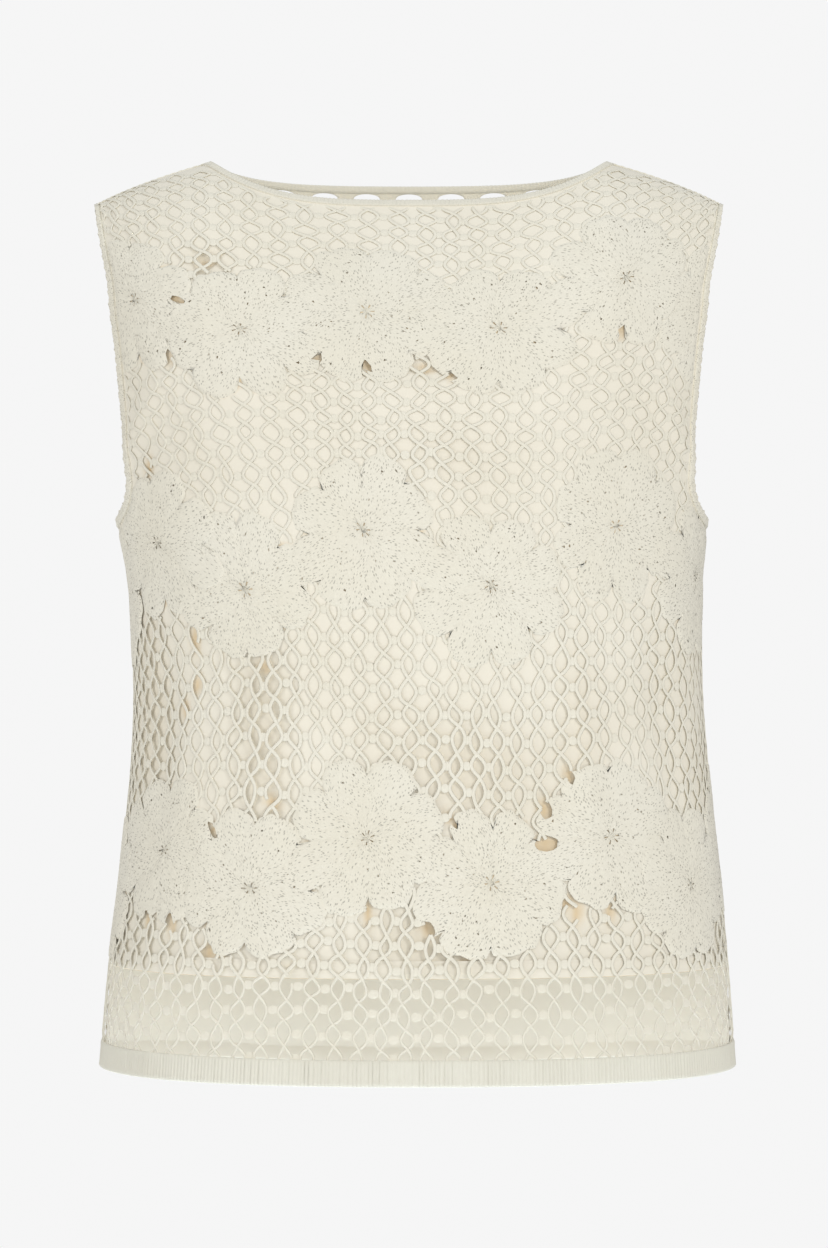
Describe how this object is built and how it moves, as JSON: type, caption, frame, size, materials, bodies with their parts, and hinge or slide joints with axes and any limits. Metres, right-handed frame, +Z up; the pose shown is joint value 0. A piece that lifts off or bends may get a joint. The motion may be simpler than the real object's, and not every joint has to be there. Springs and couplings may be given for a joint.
{
  "type": "boat neck top",
  "caption": "Sleeveless boat neck lace top over a plain lining, worn shape with open neck, armholes and hem.",
  "frame": {"origin": "midway between the two neck points of the shoulders, at their height", "axes": "+Z up, -Y out of the front, +X to the right of somebody who looks at the front"},
  "size_m": [0.4036, 0.2544, 0.5812],
  "materials": {
    "lace": "matt cotton lace, ecru",
    "lining": "smooth matt jersey, ecru",
    "band": "fine matt rib knit, ecru",
    "rib": "matt rib knit, ecru"
  },
  "bodies": {
    "root": {"front_lace": "lace", "back_lace": "lace", "front_lining": "lining", "back_lining": "lining", "neckband": "band", "armhole_band_left": "band", "armhole_band_right": "band", "hem_band_front": "rib", "hem_band_back": "rib"}
  },
  "joints": []
}
